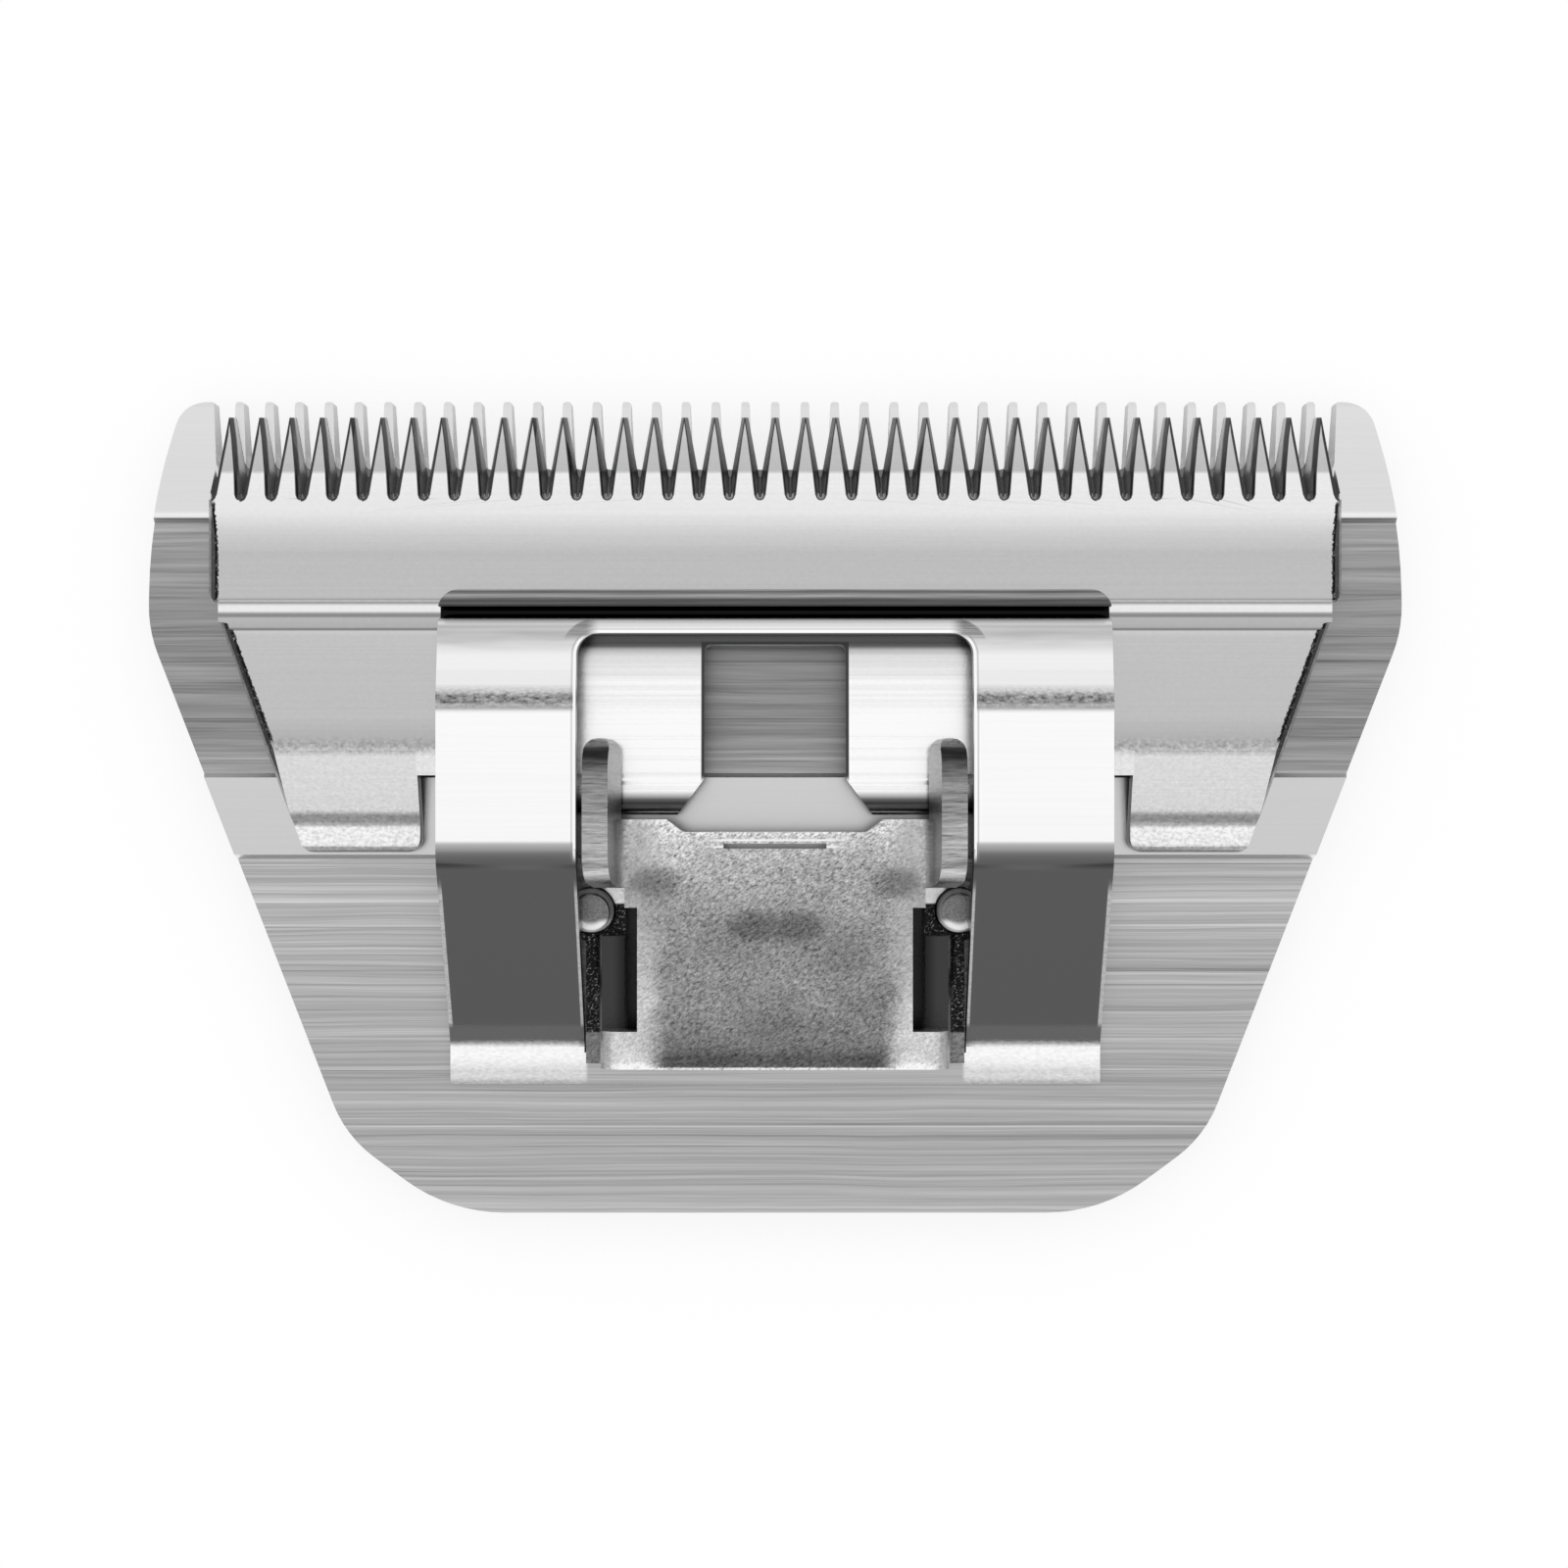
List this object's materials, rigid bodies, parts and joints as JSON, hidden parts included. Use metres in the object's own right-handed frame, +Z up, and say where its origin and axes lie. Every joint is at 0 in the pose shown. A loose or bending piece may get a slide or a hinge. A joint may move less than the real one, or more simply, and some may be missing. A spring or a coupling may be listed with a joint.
{
  "type": "hair clipper blade set",
  "caption": "Wide detachable clipper blade set: toothed lower comb, sliding toothed cutter, arched tension spring and a folded socket with two ears.",
  "frame": {"origin": "middle of the bounding box's bottom face, on the underside of the comb", "axes": "+X across the blade along the cutter's travel, +Y towards the teeth, +Z up from the comb to the ears"},
  "size_m": [0.0618, 0.04, 0.01],
  "materials": {
    "ground_steel": "ground carbon steel, brushed across the blade, lands lapped smooth",
    "cutter_steel": "satin ground steel with lapped tooth faces",
    "guide_plastic": "black low-friction plastic",
    "spring_steel": "polished plated spring steel",
    "socket_steel": "tumbled plated sheet steel with a fine grain",
    "screw_steel": "plain zinc-plated steel"
  },
  "bodies": {
    "blade_base": {"comb": "ground_steel", "cutter_guide": "guide_plastic", "tension_spring": "spring_steel", "socket": "socket_steel", "screw_left": "screw_steel", "screw_right": "screw_steel"},
    "moving_blade": {"cutter": "cutter_steel"}
  },
  "joints": [
    {"name": "cutter_slide", "type": "slide", "parent": "blade_base", "child": "moving_blade", "axis": [1, 0, 0], "range_m": [-0.0012, 0.0012]}
  ]
}
